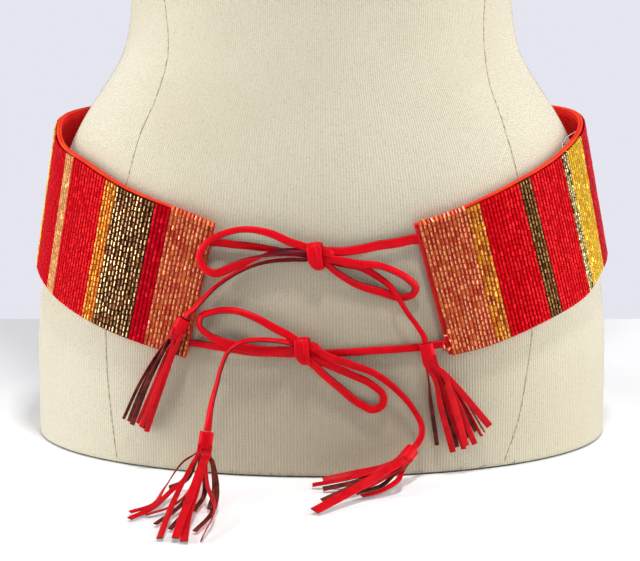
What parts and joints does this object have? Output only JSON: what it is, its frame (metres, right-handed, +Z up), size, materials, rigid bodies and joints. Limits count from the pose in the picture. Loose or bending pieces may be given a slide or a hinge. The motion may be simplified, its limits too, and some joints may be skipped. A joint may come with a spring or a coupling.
{
  "type": "beaded belt on a dress form",
  "caption": "Wide striped belt of glass bugle beads worn low on a cloth-covered dress form, its front ends joined by bows of red leather lace that end in tassels.",
  "frame": {"origin": "middle of the flat base of the dress form, on the table", "axes": "+Z up, -Y the way the form faces, +X on the right of someone who looks at its front"},
  "size_m": [0.359, 0.3763, 0.74],
  "materials": {
    "peach": "cut bugle beads with a coloured lining, glossy",
    "crimson": "cut bugle beads with a coloured lining, glossy",
    "brown_gold": "cut bugle beads with a coloured lining, glossy",
    "amber": "cut bugle beads with a coloured lining, glossy",
    "bright_red": "cut bugle beads with a coloured lining, glossy",
    "tan": "cut bugle beads with a coloured lining, glossy",
    "dark_red": "cut bugle beads with a coloured lining, glossy",
    "yellow_gold": "cut bugle beads with a coloured lining, glossy",
    "olive": "cut bugle beads with a coloured lining, glossy",
    "speckled": "cut bugle beads with a coloured lining, glossy",
    "gold": "cut bugle beads with a coloured lining, glossy",
    "canvas": "fine rib-knit cotton, matt",
    "board": "covered board, matt",
    "lining": "woven cotton, matt",
    "face_cloth": "woven cotton, folded over at the edges",
    "leather": "smooth dyed leather, semi-matt"
  },
  "bodies": {
    "root": {"dress_form": "canvas", "form_base": "board", "belt_lining": "lining", "belt_face": "face_cloth", "beads_01_peach": "peach", "beads_02_crimson": "crimson", "beads_03_brown_gold": "brown_gold", "beads_04_amber": "amber", "beads_05_bright_red": "bright_red", "beads_06_tan": "tan", "beads_07_dark_red": "dark_red", "beads_08_yellow_gold": "yellow_gold", "beads_09_bright_red": "bright_red", "beads_10_brown_gold": "brown_gold", "beads_11_peach": "peach", "beads_12_amber": "amber", "beads_13_crimson": "crimson", "beads_14_tan": "tan", "beads_15_brown_gold": "brown_gold", "beads_16_yellow_gold": "yellow_gold", "beads_17_bright_red": "bright_red", "beads_18_olive": "olive", "beads_19_peach": "peach", "beads_20_crimson": "crimson", "beads_21_amber": "amber", "beads_22_dark_red": "dark_red", "beads_23_brown_gold": "brown_gold", "beads_24_tan": "tan", "beads_25_bright_red": "bright_red", "beads_26_yellow_gold": "yellow_gold", "beads_27_olive": "olive", "beads_28_peach": "peach", "beads_29_amber": "amber", "beads_30_crimson": "crimson", "beads_31_yellow_gold": "yellow_gold", "beads_32_speckled": "speckled", "beads_33_bright_red": "bright_red", "beads_34_olive": "olive", "beads_35_bright_red": "bright_red", "beads_36_gold": "gold", "beads_37_peach": "peach", "lace_run_top_left": "leather", "lace_run_top_right": "leather", "lace_run_bottom_left": "leather", "lace_run_bottom_right": "leather", "lace_loop_top_left": "leather", "lace_loop_top_right": "leather", "lace_loop_bottom_left": "leather", "lace_loop_bottom_right": "leather", "lace_tail_top_left": "leather", "lace_tail_top_right": "leather", "lace_tail_bottom_left": "leather", "lace_tail_bottom_right": "leather", "knot_top": "leather", "knot_bottom": "leather", "tassel_top_left": "leather", "tassel_top_right": "leather", "tassel_bottom_left": "leather", "tassel_bottom_right": "leather"}
  },
  "joints": []
}
